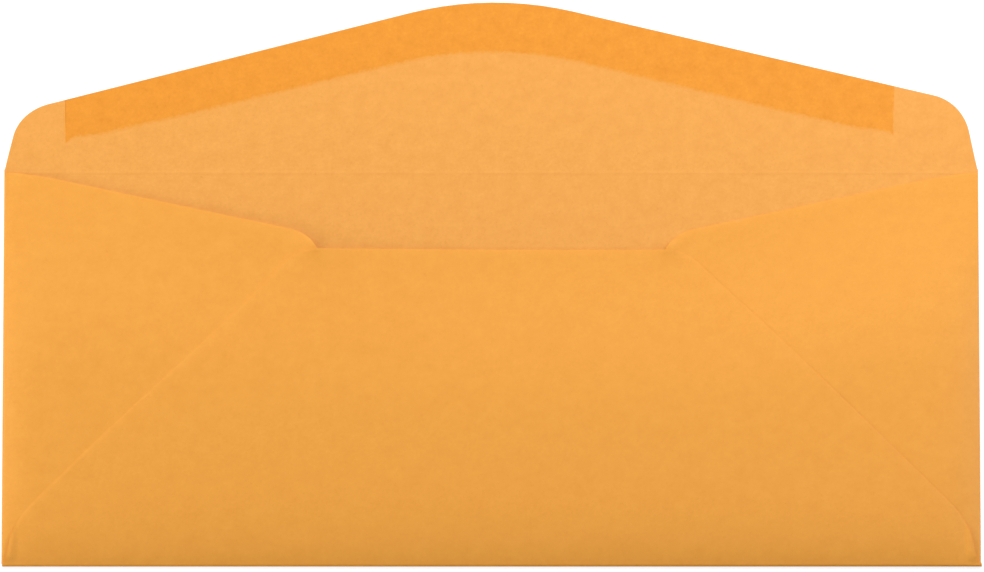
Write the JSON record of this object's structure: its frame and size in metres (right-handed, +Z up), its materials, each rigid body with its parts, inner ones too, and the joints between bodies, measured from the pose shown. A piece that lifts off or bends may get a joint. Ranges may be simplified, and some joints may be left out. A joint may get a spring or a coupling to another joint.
{
  "type": "paper envelope",
  "caption": "Long commercial kraft envelope with diagonal seams, a gummed seal flap that lies open and an empty pocket, lying on its address side.",
  "frame": {"origin": "centre of the front (address) panel's outer face, which lies on the surface", "axes": "+X along the long side, +Y towards the seal flap, +Z up, out of the back where the seams are"},
  "size_m": [0.2414, 0.1501, 0.001],
  "materials": {
    "kraft_paper": "matte",
    "dried_gum": "satin",
    "seam_glue": "satin"
  },
  "bodies": {
    "root": {"envelope": "kraft_paper", "flap_gum": "dried_gum", "left_seam_glue": "seam_glue", "right_seam_glue": "seam_glue"}
  },
  "joints": []
}
